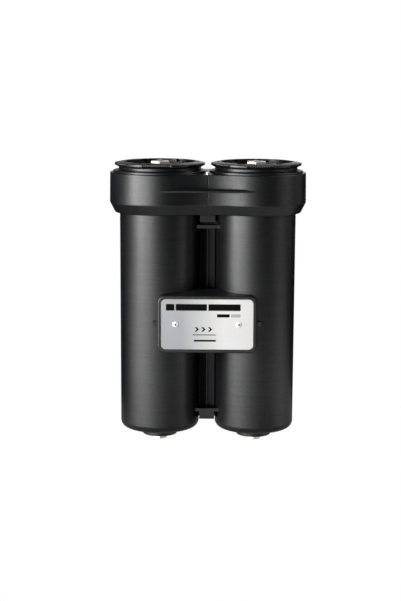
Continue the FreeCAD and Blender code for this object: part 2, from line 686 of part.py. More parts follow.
def make_bracket_screw(z):
    """Cross-slotted screw, its head at the front."""
    y = RECESS_Y
    screw = fuse(y_cylinder(SCREW_HEAD_R, y + 0.4, y + SCREW_SINK, 0, z),
                 y_cylinder(SCREW_R, y + 3.2, -5.0, 0, z))
    return cut(screw, box(-3, 3, y, y + 1.8, z - 0.6, z + 0.6),
               box(-0.6, 0.6, y, y + 1.8, z - 3, z + 3))


# ------------------------------------------------------------------ collar screw, pipe inserts
COLLAR_SCREW_R = 1.5
COLLAR_HEAD_R = 2.8
PORT_R = 22.4              # G 1 1/2 female


def make_collar_screw():
    y, z = COLLAR_SCREW_Y, SHOULDER_Z
    screw = fuse(lathe([(0, z), (COLLAR_HEAD_R, z), (COLLAR_HEAD_R, z + 2.7),
                        ((2.2, z + 3.5), (0, z + 3.9))], 0, y),
                 cylinder(COLLAR_SCREW_R, INSERT_Z0 + 2, z + 0.5, 0, y))
    return cut(screw, box(-3.5, 3.5, y - 0.45, y + 0.45, z + 2.4, z + 5))


def make_pipe_insert(z):
    insert = y_cylinder(PORT_INSERT_R, PORT_Y - PORT_LEN, PORT_Y, 0, z)
    return cut(insert, y_cylinder(PORT_R, PORT_Y - PORT_LEN - 1, PORT_Y + 1, 0, z))


# ------------------------------------------------------------------ build and write
os.makedirs("parts", exist_ok=True)
save("twin_body", make_body())
for side, x in SIDES:
    pieces = {
        "lock_ring": turned(make_ring(RING_TURN[side]), 0, x),
        "slip_washer": tube(WASHER_RO, WASHER_RI, LID_TOP_Z, RING_Z0, x),
        "lid": make_lid(x),
        "lid_oring": Part.makeTorus(ORING_R, ORING_CORD_R, Vec(x, 0, ORING_Z), Vec(0, 0, 1)),
        "bleed_washer": tube(BLEED_WASHER_R, BLEED_R, BLEED_SEAT_Z, BLEED_WASHER_Z1, x),
        "bleed_body": make_bleed_body(x),
        "bleed_screw": make_bleed_screw(x),
        "magnet_rod": make_rod(x),
        "magnets": make_stack(MAGNET_R - MAGNET_INSET, MAGNET_L, HUB_Z0 - POLE_T,
                              MAGNET_COUNT, x),
        "pole_plates": make_stack(MAGNET_R, POLE_T, HUB_Z0, MAGNET_COUNT + 1, x),
        "rod_nut": make_rod_nut(x),
        "sleeve": make_sleeve(x),
        "drain_bush": tube(DRAIN_BUSH_R, DRAIN_STEM_R + 0.05, BOSS_Z0, FLOOR_Z, x),
        "drain_seal": tube(DRAIN_SEAL_R, DRAIN_STEM_R, DRAIN_HEX_H, BOSS_Z0 - 0.05, x),
        "drain_plug": make_drain_plug(x),
    }
    for name, shape in pieces.items():
        save(side + "_" + name, shape)
save("nameplate_bracket", make_bracket())
save("nameplate", make_plate())
save("nameplate_rivets", Part.makeCompound([make_rivet(s * RIVET_X) for s in (-1, 1)]))
save("bracket_screws", Part.makeCompound([make_bracket_screw(z) for z in SCREW_HEIGHTS]))
save("collar_insert", tube(INSERT_R, COLLAR_SCREW_R, INSERT_Z0, SHOULDER_Z, 0, COLLAR_SCREW_Y))
save("collar_screw", make_collar_screw())
save("inlet_insert", make_pipe_insert(PORT_IN_Z))
save("outlet_insert", make_pipe_insert(PORT_OUT_Z))
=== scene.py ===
# Twin-canister magnetic filter. The canisters stand side by side along X, Z is up and the
# nameplate faces the front, -Y. The threaded ports run along Y at x = 0.
# Meshes are worked out in millimetres and stored in metres; materials, lights and camera use metres.
import bpy
import bmesh
import json
import math
from mathutils import Matrix, Vector

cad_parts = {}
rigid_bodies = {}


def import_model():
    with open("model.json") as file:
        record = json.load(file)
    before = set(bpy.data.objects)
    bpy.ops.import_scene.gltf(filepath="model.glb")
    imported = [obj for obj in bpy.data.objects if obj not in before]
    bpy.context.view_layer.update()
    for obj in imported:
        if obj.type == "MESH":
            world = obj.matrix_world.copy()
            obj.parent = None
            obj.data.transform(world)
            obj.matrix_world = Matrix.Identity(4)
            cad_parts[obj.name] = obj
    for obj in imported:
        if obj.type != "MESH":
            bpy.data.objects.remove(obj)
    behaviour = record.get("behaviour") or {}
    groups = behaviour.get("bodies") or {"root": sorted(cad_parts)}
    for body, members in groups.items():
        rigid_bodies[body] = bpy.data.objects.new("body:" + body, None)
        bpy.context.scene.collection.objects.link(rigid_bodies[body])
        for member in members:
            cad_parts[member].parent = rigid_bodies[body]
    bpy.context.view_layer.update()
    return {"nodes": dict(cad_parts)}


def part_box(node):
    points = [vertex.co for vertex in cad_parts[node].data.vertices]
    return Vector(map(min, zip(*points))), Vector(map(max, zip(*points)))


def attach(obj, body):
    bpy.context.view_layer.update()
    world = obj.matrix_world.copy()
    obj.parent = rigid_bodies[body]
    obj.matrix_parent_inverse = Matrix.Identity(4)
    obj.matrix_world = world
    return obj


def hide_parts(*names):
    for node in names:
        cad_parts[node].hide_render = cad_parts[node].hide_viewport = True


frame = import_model()

MM = 0.001
CANISTER_X = 64.0
SIDES = (("left", -CANISTER_X), ("right", CANISTER_X))


# ------------------------------------------------------------------ material builder
def blank_tree(owner):
    """Turn on nodes for a material or world and return its emptied tree."""
    owner.use_nodes = True
    owner.node_tree.nodes.clear()
    return owner.node_tree


def shade(colour, gain, lift=0.0):
    return tuple(min(1.0, c * gain + lift) for c in colour)


class Material:
    """A Principled material whose helper methods add nodes and return their output sockets."""

    def __init__(self, name):
        self.material = bpy.data.materials.new(name)
        self.tree = blank_tree(self.material)
        output = self.node("ShaderNodeOutputMaterial")
        self.principled = self.node("ShaderNodeBsdfPrincipled")
        self.tree.links.new(self.principled.outputs["BSDF"], output.inputs["Surface"])
        self.coords = self.node("ShaderNodeTexCoord")

    def node(self, kind, **settings):
        node = self.tree.nodes.new(kind)
        for key, value in settings.items():
            setattr(node, key, value)
        return node

    def feed(self, socket, value):
        """Give an input a number, an RGB colour or a link."""
        if isinstance(value, (int, float)):
            socket.default_value = value
        elif isinstance(value, tuple):
            socket.default_value = (*value, 1)
        else:
            self.tree.links.new(value, socket)

    def put(self, name, value):
        self.feed(self.principled.inputs[name], value)

    def position(self, stretch=(1, 1, 1)):
        """Object-space position in metres, scaled along each axis."""
        mapping = self.node("ShaderNodeMapping")
        mapping.inputs["Scale"].default_value = stretch
        self.feed(mapping.inputs["Vector"], self.coords.outputs["Object"])
        return mapping.outputs["Vector"]

    def axes(self):
        """Object-space x, y and z as separate outputs."""
        split = self.node("ShaderNodeSeparateXYZ")
        self.feed(split.inputs[0], self.coords.outputs["Object"])
        return split.outputs

    def noise(self, scale, detail, roughness, stretch=(1, 1, 1)):
        node = self.node("ShaderNodeTexNoise")
        self.feed(node.inputs["Scale"], scale)
        self.feed(node.inputs["Detail"], detail)
        self.feed(node.inputs["Roughness"], roughness)
        self.feed(node.inputs["Vector"], self.position(stretch))
        return node.outputs["Fac"]

    def voronoi(self, scale):
        node = self.node("ShaderNodeTexVoronoi")
        self.feed(node.inputs["Scale"], scale)
        self.feed(node.inputs["Vector"], self.position())
        return node.outputs["Distance"]

    def remap(self, value, start, end, low=0.0, high=1.0):
        """Map start..end onto low..high, clamped."""
        node = self.node("ShaderNodeMapRange")
        self.feed(node.inputs["From Min"], start)
        self.feed(node.inputs["From Max"], end)
        self.feed(node.inputs["To Min"], low)
        self.feed(node.inputs["To Max"], high)
        self.feed(node.inputs["Value"], value)
        return node.outputs["Result"]

    def spread(self, noise, low=0.0, high=1.0):
        """Map the middle of a noise's range, 0.3 to 0.7, onto low..high."""
        return self.remap(noise, start=0.3, end=0.7, low=low, high=high)

    def math(self, operation, first, second):
        node = self.node("ShaderNodeMath", operation=operation)
        self.feed(node.inputs[0], first)
        self.feed(node.inputs[1], second)
        return node.outputs[0]

    def add(self, first, second):
        return self.math("ADD", first, second)

    def multiply(self, first, second):
        return self.math("MULTIPLY", first, second)

    def mix(self, factor, colour_0, colour_1):
        node = self.node("ShaderNodeMix", data_type="RGBA")
        # sockets 0, 6 and 7 are the factor and the two colours
        for index, value in ((0, factor), (6, colour_0), (7, colour_1)):
            self.feed(node.inputs[index], value)
        return node.outputs[2]

    def bump(self, height, strength, distance, normal=None):
        node = self.node("ShaderNodeBump")
        self.feed(node.inputs["Strength"], strength)
        self.feed(node.inputs["Distance"], distance)
        self.feed(node.inputs["Height"], height)
        if normal is not None:
            self.feed(node.inputs["Normal"], normal)
        return node.outputs["Normal"]

    def edge(self, radius):
        """Return an edge mask (0 on flats, towards 1 at edges) and the rounded normal.

        The mask comes from how far the rounded normal leans from the real one.
        """
        geometry = self.node("ShaderNodeNewGeometry")
        bevel = self.node("ShaderNodeBevel", samples=4)
        self.feed(bevel.inputs["Radius"], radius)
        rounded = bevel.outputs["Normal"]
        lean = self.node("ShaderNodeVectorMath", operation="DOT_PRODUCT")
        self.feed(lean.inputs[0], rounded)
        self.feed(lean.inputs[1], geometry.outputs["Normal"])
        return self.remap(lean.outputs["Value"], start=0.995, end=0.86), rounded


# ------------------------------------------------------------------ materials
def painted_gap_shade(m):
    """Painted shade: 1 outside the narrow gap between the canisters, less within it, where the
    canisters shade each other.
    """
    axes = m.axes()
    off_centre = m.math("ABSOLUTE", axes["X"], 0.0)
    painted_shade_mask = m.multiply(
        m.remap(off_centre, start=0.0113, end=0.0103),
        m.multiply(m.remap(axes["Z"], start=0.0450, end=0.0462),
                   m.remap(axes["Z"], start=0.2912, end=0.2900)))
    # painted shade: the left part of the gap is darker than the right, where the left canister
    # blocks the light from the left
    painted_left_shade = m.multiply(m.remap(axes["X"], start=-0.0008, end=-0.0014), 0.42)
    painted_shade_depth = m.add(0.50, painted_left_shade)
    return m.math("SUBTRACT", 1.0, m.multiply(painted_shade_mask, painted_shade_depth))


def plastic(name, colour, roughness, grain, bump, specular=0.5, wear=0.35, mottle=0.25,
            coarse=0.45, gap=False):
    """Moulded plastic: fine eroded grain, faint flow mottling, slightly polished edges.

    grain is the grain size in metres, bump its strength; coarse is the strength of larger bumps.
    gap=True paints shade into the narrow gap between the canisters.
    """
    m = Material(name)
    edge, rounded = m.edge(radius=0.0007)
    grains = m.noise(scale=1.0 / grain, detail=2.0, roughness=0.6)
    cells = m.voronoi(scale=0.55 / grain)
    patches = m.noise(scale=38.0, detail=4.0, roughness=0.6)
    flow = m.noise(scale=9.0, detail=3.0, roughness=0.5, stretch=(1, 1, 0.35))
    lumps = m.noise(scale=760.0, detail=2.0, roughness=0.65)

    mottled = m.mix(m.spread(patches), shade(colour, 1 - mottle), shade(colour, 1 + mottle))
    worn = m.mix(m.multiply(edge, wear), mottled, shade(colour, gain=2.2, lift=0.008))

    uneven = m.add(m.spread(flow, low=roughness - 0.035, high=roughness + 0.035),
                   m.spread(grains, low=-0.03, high=0.03))
    edge_polish = m.multiply(edge, 0.06)
    m.put("Roughness", m.math("SUBTRACT", uneven, edge_polish))

    # the fine relief is 65 % grain and 35 % cells
    relief = m.add(m.multiply(grains, 0.65), m.multiply(cells, 0.35))
    normal = m.bump(lumps, strength=coarse, distance=0.00012, normal=rounded)
    m.put("Normal", m.bump(relief, strength=bump, distance=grain * 0.22, normal=normal))

    # painted shade: within the gap between the canisters the colour goes nearly black and the
    # specular level drops
    if gap:
        painted_shade_factor = painted_gap_shade(m)
        # faint level marks left by the mould
        marks = m.noise(scale=1.0, detail=3.0, roughness=0.6, stretch=(14.0, 14.0, 620.0))
        level = m.multiply(painted_shade_factor, m.spread(marks, low=specular * 0.90, high=specular * 1.10))
        specks = m.noise(scale=640.0, detail=3.0, roughness=0.7)
        level = m.multiply(level, m.remap(specks, start=0.25, end=0.75, low=0.80, high=1.20))
        m.put("Specular IOR Level", level)
        m.put("Base Color", m.mix(painted_shade_factor, (0.0003, 0.0003, 0.0003), worn))
    else:
        m.put("Specular IOR Level", specular)
        m.put("Base Color", worn)
    return m.material


def metal(name, colour, roughness, tint=None, turned=0.0, variation=0.08, metallic=1.0):
    """Plated or machined metal; turned is the scale of fine level rings stacked along Z."""
    m = Material(name)
    edge, rounded = m.edge(radius=0.00025)
    patches = m.noise(scale=160.0, detail=4.0, roughness=0.6)
    grain = m.noise(scale=2600.0, detail=2.0, roughness=0.5)
    tint = tint or shade(colour, gain=0.82)
    tinted = m.mix(m.remap(patches, start=0.35, end=0.7), colour, tint)
    edge_share = m.multiply(edge, 0.5)
    m.put("Base Color", m.mix(edge_share, tinted, shade(colour, gain=1.12, lift=0.03)))
    m.put("Metallic", metallic)
    m.put("Roughness", m.add(
        m.spread(patches, low=roughness - variation, high=roughness + variation),
        m.spread(grain, low=-0.02, high=0.02)))
    relief = grain
    if turned:
        height = m.axes()["Z"]
        rings = m.node("ShaderNodeTexNoise", noise_dimensions="1D")
        m.feed(rings.inputs["Scale"], 1.0)
        m.feed(rings.inputs["Detail"], 2.0)
        m.feed(rings.inputs["W"], m.multiply(height, turned))
        faint_grain = m.multiply(grain, 0.3)
        relief = m.add(faint_grain, rings.outputs["Fac"])
    m.put("Normal", m.bump(relief, strength=0.25, distance=0.00004, normal=rounded))
    return m.material


def rubber(name, colour, roughness):
    m = Material(name)
    grain = m.noise(scale=900.0, detail=3.0, roughness=0.6)
    patches = m.noise(scale=60.0, detail=3.0, roughness=0.5)
    m.put("Base Color", m.mix(m.spread(patches), colour, shade(colour, gain=1.9, lift=0.004)))
    m.put("Roughness", m.spread(grain, low=roughness - 0.08, high=roughness + 0.08))
    m.put("Normal", m.bump(grain, strength=0.35, distance=0.00008))
    return m.material


def brushed_plate(name):
    """Satin anodised plate: fine horizontal brushing and a painted light gradient over its face."""
    m = Material(name)
    edge, rounded = m.edge(radius=0.0004)
    long_marks = m.noise(scale=1.0, detail=3.0, roughness=0.6, stretch=(26.0, 26.0, 5200.0))
    fine_marks = m.noise(scale=1.0, detail=2.0, roughness=0.6, stretch=(160.0, 160.0, 14000.0))
    axes = m.axes()
    painted_light_across = m.remap(axes["X"], start=-0.034, end=0.022)
    painted_light_upward = m.remap(axes["Z"], start=0.135, end=0.202)
    # painted light: darker on the left, lighter on the right, a touch paler towards the top,
    # standing in for the uneven fall of the lamps
    colour = m.mix(painted_light_across, (0.322, 0.334, 0.350), (0.700, 0.692, 0.675))
    colour = m.mix(m.multiply(painted_light_upward, 0.04), colour, (0.80, 0.79, 0.77))
    brushing = m.remap(long_marks, start=0.35, end=0.65, low=0.0, high=0.10)
    colour = m.mix(brushing, colour, (0.35, 0.36, 0.37))
    colour = m.mix(m.multiply(edge, 0.9), colour, (1.0, 1.0, 1.0))
    m.put("Base Color", colour)
    m.put("Metallic", 0.82)
    m.put("Roughness", m.spread(long_marks, low=0.40, high=0.52))
    m.put("Anisotropic", 0.35)
    # both kinds of mark count equally in the relief
    relief = m.add(m.multiply(long_marks, 0.5), m.multiply(fine_marks, 0.5))
    m.put("Normal", m.bump(relief, strength=0.22, distance=0.00003, normal=rounded))
    return m.material


def ink(name, colour, roughness=0.60):
    """Screen-printed ink: matt, faintly uneven."""
    m = Material(name)
    grain = m.noise(scale=1500.0, detail=3.0, roughness=0.6)
    m.put("Base Color", m.mix(m.spread(grain), colour, shade(colour, gain=1.25, lift=0.004)))
    m.put("Roughness", m.spread(grain, low=roughness - 0.05, high=roughness + 0.08))
    m.put("Specular IOR Level", 0.02)
    m.put("Normal", m.bump(grain, strength=0.15, distance=0.00003))
    return m.material


MATERIALS = {
    # the body's material paints shade into the gap between the canisters
    "body": plastic("black_body", (0.0038, 0.0040, 0.0046), roughness=0.355,
                    grain=0.00042, bump=0.34, gap=True),
    "ring": plastic("black_ring", (0.0040, 0.0042, 0.0048), roughness=0.34,
                    grain=0.00034, bump=0.26, coarse=0.10),
    "lid": plastic("black_lid", (0.0030, 0.0030, 0.0033), roughness=0.50,
                   grain=0.00040, bump=0.35, specular=0.28),
    "bracket": plastic("black_bracket", (0.0060, 0.0062, 0.0068), roughness=0.40,
                       grain=0.00036, bump=0.30, coarse=0.10),
    "washer": plastic("white_washer", (0.62, 0.61, 0.57), roughness=0.42,
                      grain=0.0006, bump=0.15, wear=0.1, mottle=0.05),
    "sleeve": plastic("grey_sleeve", (0.30, 0.31, 0.32), roughness=0.33,
                      grain=0.0006, bump=0.12, wear=0.1, mottle=0.06),
    "rubber": rubber("black_rubber", (0.012, 0.012, 0.012), roughness=0.62),
    "nickel": metal("nickel_plate", (0.90, 0.87, 0.80), roughness=0.34,
                    tint=(0.78, 0.72, 0.63), variation=0.06, metallic=0.72),
    "magnet": metal("magnet_nickel", (0.72, 0.72, 0.74), roughness=0.20, variation=0.05),
    "steel": metal("turned_steel", (0.55, 0.55, 0.57), roughness=0.33, turned=9000.0),
    "brass": metal("machined_brass", (0.72, 0.52, 0.24), roughness=0.30,
                   tint=(0.58, 0.40, 0.17), turned=7000.0),
    "rivet": metal("bright_aluminium", (0.98, 0.98, 0.98), roughness=0.50,
                   tint=(0.93, 0.93, 0.94), variation=0.04, metallic=0.45),
    "plate": brushed_plate("brushed_plate"),
    "ink": ink("black_ink", (0.0015, 0.0015, 0.0018)),
    "ink_grey": ink("grey_ink", (0.30, 0.31, 0.32)),
}

# CAD piece, without its side, to material
PIECE_MATERIALS = {
    "twin_body": "body", "lock_ring": "ring", "lid": "lid", "slip_washer": "washer",
    "lid_oring": "rubber", "bleed_washer": "washer", "bleed_body": "nickel",
    "bleed_screw": "nickel", "magnet_rod": "steel", "magnets": "magnet",
    "pole_plates": "steel", "rod_nut": "steel", "sleeve": "sleeve", "drain_bush": "brass",
    "drain_seal": "rubber", "drain_plug": "nickel", "nameplate_bracket": "bracket",
    "nameplate": "plate", "nameplate_rivets": "rivet", "bracket_screws": "steel",
    "collar_insert": "brass", "collar_screw": "nickel", "inlet_insert": "brass",
    "outlet_insert": "brass",
}

for name, piece in frame["nodes"].items():
    kind = name.replace("left_", "").replace("right_", "")
    piece.data.materials.clear()
    piece.data.materials.append(MATERIALS[PIECE_MATERIALS[kind]])


# ------------------------------------------------------------------ mesh helpers
def new_object(name, verts, faces, material, smooth_deg):
    """Make a mesh object whose edges are sharp from smooth_deg upwards."""
    mesh = bpy.data.meshes.new(name)
    mesh.from_pydata(verts, [], faces)
    mesh.validate()
    bm = bmesh.new()
    bm.from_mesh(mesh)
    bmesh.ops.remove_doubles(bm, verts=bm.verts, dist=1e-7)
    bmesh.ops.recalc_face_normals(bm, faces=bm.faces)
    limit = math.radians(smooth_deg)
    for edge in bm.edges:
        if len(edge.link_faces) == 2:
            edge.smooth = edge.calc_face_angle(0.0) < limit
    for face in bm.faces:
        face.smooth = True
    bm.to_mesh(mesh)
    bm.free()
    obj = bpy.data.objects.new(name, mesh)
    bpy.context.scene.collection.objects.link(obj)
    mesh.materials.append(material)
    return obj


def circle(count):
    return [math.radians(360.0 * i / count) for i in range(count)]


def about_z(centre_x):
    """Place (radius, angle, height) about an upright axis."""
    def place(r, theta, z):
        return ((centre_x + r * math.cos(theta)) * MM, r * math.sin(theta) * MM, z * MM)
    return place


def about_y(centre_x, centre_z, start_y=0.0):
    """Place (radius, angle, depth) about a front-to-back axis."""
    def place(r, theta, y):
        return ((centre_x + r * math.cos(theta)) * MM, (start_y + y) * MM,
                (centre_z + r * math.sin(theta)) * MM)
    return place


def ring_mesh(name, thetas, section, place, material, smooth_deg):
    """A closed ring: section(theta) gives the same number of profile points at every angle."""
    sections = [section(theta) for theta in thetas]
    verts = [place(r, theta, along)
             for theta, points in zip(thetas, sections) for r, along in points]
    count, size = len(thetas), len(sections[0])
    faces = []
    for i in range(count):
        j = (i + 1) % count
        for a in range(size):
            b = (a + 1) % size
            faces.append((i * size + a, i * size + b, j * size + b, j * size + a))
    return new_object(name, verts, faces, material, smooth_deg)


def smoothstep(x):
    x = max(0.0, min(1.0, x))
    return x * x * (3 - 2 * x)


def thread(along, theta, pitch):
    """0 on the crest, 1 in the root, for a rounded 60 degree thread."""
    phase = (along / pitch - theta / (2 * math.pi)) % 1.0
    from_root = abs(phase - 0.5) * 2.0
    return 1.0 - smoothstep((from_root - 0.12) / 0.62)


# ------------------------------------------------------------------ lock rings
ring_lo, ring_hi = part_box("left_lock_ring")
RING_BOTTOM, RING_TOP = ring_lo.z / MM, ring_hi.z / MM
RING_TURN = {"left": -92.5, "right": -84.4}     # degrees each ring is screwed round
BORE_R, NECK_R, LOBE_R, RIB_R = 47.5, 54.95, 60.3, 59.5
RIB_DEPTH = 0.6
RIB_STEP = 3.0                                  # degrees
LOBES = 6
SECTOR = 360.0 / LOBES
DISH = 1.6                                      # fall of the top face towards its rim
RING_PITCH = 5.0
THREAD_DEPTH = 1.25
# degrees from the middle of a lobe to the side of the notch in its bore
NOTCH_HALF = math.degrees(math.atan2(5.5, BORE_R + 2))


def ring_angles(turn):
    """Even steps, with extra stations at the flanks of the lobes and notches."""
    angles = {round(i * 0.375, 4) for i in range(960)}
    for k in range(LOBES):
        for offset in (11.98, 12.0, 12.9, NOTCH_HALF - 0.06, NOTCH_HALF + 0.06):
            for sign in (-1, 1):
                angle = turn + SECTOR * k + SECTOR / 2 + sign * offset
                angles.add(round(angle % 360.0, 4))
    angles = sorted(angles)
    kept = [angles[0]]
    for angle in angles[1:]:
        if angle - kept[-1] > 0.05:
            kept.append(angle)
    return [math.radians(angle) for angle in kept]


def make_lock_ring(side, centre_x):
    thread_zs = [RING_BOTTOM + 0.9 + 0.34 * i for i in range(40)]
    thread_zs = [z for z in thread_zs if z < RING_TOP - 8.2]

    def section(theta):
        angle = (math.degrees(theta) - RING_TURN[side]) % SECTOR    # 0 is mid ribbed section
        from_lobe = abs(angle - SECTOR / 2)
        lobe = 1.0 - smoothstep((from_lobe - 11.7) / 1.3)
        phase = ((angle + 18.0) % SECTOR) / RIB_STEP % 1.0
        rib = smoothstep(min(phase, 1 - phase) * 3.3)
        ribbed_r = RIB_R - RIB_DEPTH * (1.0 - rib)
        rim_r = ribbed_r + (LOBE_R - ribbed_r) * lobe
        rim_bottom = RING_TOP - 3.6 - 1.1 * lobe
        neck_top = RING_TOP - 6.8 - 0.3 * lobe
        top_r = rim_r - 0.65 - 0.25 * lobe
        rounding = 0.5 + 0.4 * lobe
        rim_top = RING_TOP - DISH

        def on_top(r):
            """Point of the dished top face at radius r."""
            fall = max(0.0, (r - BORE_R - 3.0) / (top_r - BORE_R - 3.0))
            return r, RING_TOP - DISH * fall

        def under_rim(out, down):
            """Point between neck and rim, at fractions outwards and downwards."""
            return (NECK_R + (rim_r - NECK_R) * out,
                    rim_bottom + (neck_top - rim_bottom) * down)

        # up the bore, round the notch or the plain inner lip, out over the top,
        # down the rim and neck, then down the thread
        points = [
            (BORE_R + 0.5, RING_BOTTOM), (BORE_R, RING_BOTTOM + 0.5),
            (BORE_R, RING_BOTTOM + 7.0), (BORE_R, RING_TOP - 8.0), (BORE_R, RING_TOP - 5.2),
        ]
        if from_lobe < NOTCH_HALF:
            notch_r, floor_z = BORE_R + 4.2, RING_TOP - 4.5
            points += [
                (BORE_R, floor_z), (BORE_R + 0.3, floor_z), (notch_r - 0.3, floor_z),
                (notch_r, floor_z + 0.3), (notch_r, on_top(notch_r)[1] - 0.3),
                on_top(notch_r + 0.3),
            ]
        else:
            points += [
                (BORE_R, RING_TOP - 4.4), (BORE_R, RING_TOP - 1.0),
                (BORE_R + 0.35, RING_TOP - 0.45), (BORE_R + 1.1, RING_TOP - 0.08),
                (BORE_R + 1.5, RING_TOP), (BORE_R + 2.0, RING_TOP),
            ]
        points += [
            on_top(BORE_R + 5.6), on_top(BORE_R + 8.0), on_top(top_r - 0.9),
            (top_r, rim_top - 0.02), (rim_r - 0.18, rim_top - rounding * 0.35),
            (rim_r, rim_top - rounding), (rim_r, (rim_top - rounding + rim_bottom) / 2.0),
            (rim_r, rim_bottom + 0.25), (rim_r - 0.12, rim_bottom),
            under_rim(0.6, 0.4), under_rim(0.25, 0.75),
            (NECK_R + 0.25, neck_top + 0.05), (NECK_R, neck_top - 0.3),
        ]
        for z in reversed(thread_zs):
            fade = smoothstep((z - RING_BOTTOM - 0.4) / 2.2)
            fade *= smoothstep((RING_TOP - 9.2 - z) / 2.0)
            points.append((NECK_R - THREAD_DEPTH * fade * thread(z, theta, RING_PITCH), z))
        return points + [(NECK_R - 0.25, RING_BOTTOM + 0.3), (NECK_R - 0.8, RING_BOTTOM)]

    ring = ring_mesh(side + "_threaded_lock_ring", ring_angles(RING_TURN[side]), section,
                     about_z(centre_x), MATERIALS["ring"], smooth_deg=32.0)
    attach(ring, side + "_lock_ring")
    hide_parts(side + "_lock_ring")


for side, centre_x in SIDES:
    make_lock_ring(side, centre_x)


# ------------------------------------------------------------------ hexagon bleed heads
HEX_HALF = 24.2 / 2.0                           # half the distance across flats
HEX_BOTTOM, HEX_TOP = 375.1, 378.7
HEX_BORE_R = 6.95


def hex_section(theta):
    # 0 at the middle of a flat; corners point to the front and the rear
    from_flat = (math.degrees(theta) - 90.0) % 60.0 - 30.0
    side_r = HEX_HALF / math.cos(math.radians(from_flat))
    chamfer = max(0.12, 0.5 * (side_r - HEX_HALF + 0.2))
    top, bottom = HEX_TOP - chamfer, HEX_BOTTOM + chamfer
    return [
        (HEX_BORE_R, HEX_BOTTOM), (HEX_BORE_R, HEX_TOP - 0.5),
        (HEX_BORE_R + 0.12, HEX_TOP - 0.2), (HEX_BORE_R + 0.5, HEX_TOP),
        (HEX_HALF - 0.45, HEX_TOP), (HEX_HALF - 0.2, HEX_TOP - 0.05),
        (side_r - 0.04, top + 0.03), (side_r, top - 0.05), (side_r, (top + bottom) / 2.0),
        (side_r, bottom), (HEX_HALF - 0.2, HEX_BOTTOM), (HEX_BORE_R + 1.0, HEX_BOTTOM),
    ]


for side, centre_x in SIDES:
    head = ring_mesh(side + "_bleed_hex_head", circle(240), hex_section, about_z(centre_x),
                     MATERIALS["nickel"], smooth_deg=20.0)
    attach(head, side + "_lid")


# ------------------------------------------------------------------ black pins in the rivets, painted shade for their dark holes
RIVET_X = 41.8
HOLE_SHADE_PROUD = 0.34            # profile origin in front of the rivets' front
# radius, depth behind the profile origin
HOLE_SHADE_PROFILE = (
    (0.30, 1.3), (0.30, 0.42), (0.45, 0.30), (0.75, 0.16), (1.05, 0.12),
    (1.22, 0.20), (1.28, 0.34), (1.20, 0.50), (0.85, 0.60), (0.80, 1.3),
)
rivets_lo, rivets_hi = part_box("nameplate_rivets")
rivets_z = (rivets_lo.z + rivets_hi.z) / 2 / MM

for side, hole_shade_x in (("left", -RIVET_X), ("right", RIVET_X)):
    # painted shade: a matt black dish and stem where each rivet's hole lies in shade
    rivet_hole_shade = ring_mesh(side + "_rivet_pin", circle(48), lambda theta: HOLE_SHADE_PROFILE,
                    about_y(hole_shade_x, rivets_z, rivets_lo.y / MM - HOLE_SHADE_PROUD),
                    MATERIALS["ink"], smooth_deg=40.0)
    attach(rivet_hole_shade, "casing")


# ------------------------------------------------------------------ threaded port inserts
PORT_R = 22.4               # radius at the thread crests
PORT_PITCH = 2.309
PORT_STEP = 0.26            # spacing of thread stations along the axis


def make_insert(node):
    lo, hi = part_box(node)
    front, back = lo.y / MM, hi.y / MM
    outer_r = (hi.z - lo.z) / 2 / MM
    wall_r = outer_r - 0.05
    count = int((back - front - 2.4) / PORT_STEP) + 1
    thread_ys = [front + 1.2 + PORT_STEP * i for i in range(count)]

    def section(theta):
        points = [
            (PORT_R + 1.2, front), (wall_r, front), (wall_r, front + 4), (wall_r, back - 0.35),
            (outer_r - 0.4, back), (PORT_R + 2.4, back), (PORT_R + 1.9, back - 0.05),
        ]
        for y in reversed(thread_ys):
            fade = smoothstep((y - front) / 3.0)
            lead_in = 1.5 * smoothstep((y - (back - 2.2)) / 2.0)
            groove = THREAD_DEPTH * fade * thread(y, theta, PORT_PITCH)
            points.append((PORT_R + max(lead_in, groove), y))
        return points + [(PORT_R + 0.5, front + 0.4)]

    insert = ring_mesh(node.replace("_insert", "_threaded_insert"), circle(192), section,
                       about_y(0.0, (lo.z + hi.z) / 2 / MM), MATERIALS["brass"],
                       smooth_deg=32.0)
    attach(insert, "casing")
    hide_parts(node)


for node_name in ("inlet_insert", "outlet_insert"):
    make_insert(node_name)


# ------------------------------------------------------------------ print on the nameplate
plate_lo, plate_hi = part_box("nameplate")
PLATE_FRONT = plate_lo.y / MM
PLATE_X = (plate_lo.x + plate_hi.x) / 2 / MM
PLATE_Z = (plate_lo.z + plate_hi.z) / 2 / MM
INK_PROUD, INK_SUNK = 0.06, 0.02

# name, then left, right, bottom and top from the plate's centre, corner radius, ink
BARS = (
    ("plate_title_bar_a", -54.127, -43.024, 18.370, 27.092, 0.6, "ink"),
    ("plate_title_bar_b", -41.173, -0.198, 18.370, 27.092, 0.6, "ink"),
    ("plate_title_bar_c", 1.652, 43.949, 18.370, 27.092, 0.6, "ink"),
    ("plate_second_bar", 13.0195, 29.674, 9.647, 13.876, 0.5, "ink"),
    ("plate_third_bar", 31.524, 43.949, 9.647, 13.876, 0.5, "ink_grey"),
    ("plate_rule_a", -18.703, 11.698, -14.405, -13.348, 0.4, "ink"),
    ("plate_rule_b", -17.381, 11.698, -22.863, -20.484, 0.6, "ink"),
)
CHEVRON_X, CHEVRON_Z = -13.416, -6.476          # centre of the leftmost one
CHEVRON_PITCH = 8.7237
CHEVRON_HALF = 3.0
# x, z outline of a chevron pointing right, in half heights
CHEVRON = ((-1, -1), (-0.1, -1), (0.95, 0), (-0.1, 1), (-1, 1), (0.05, 0))


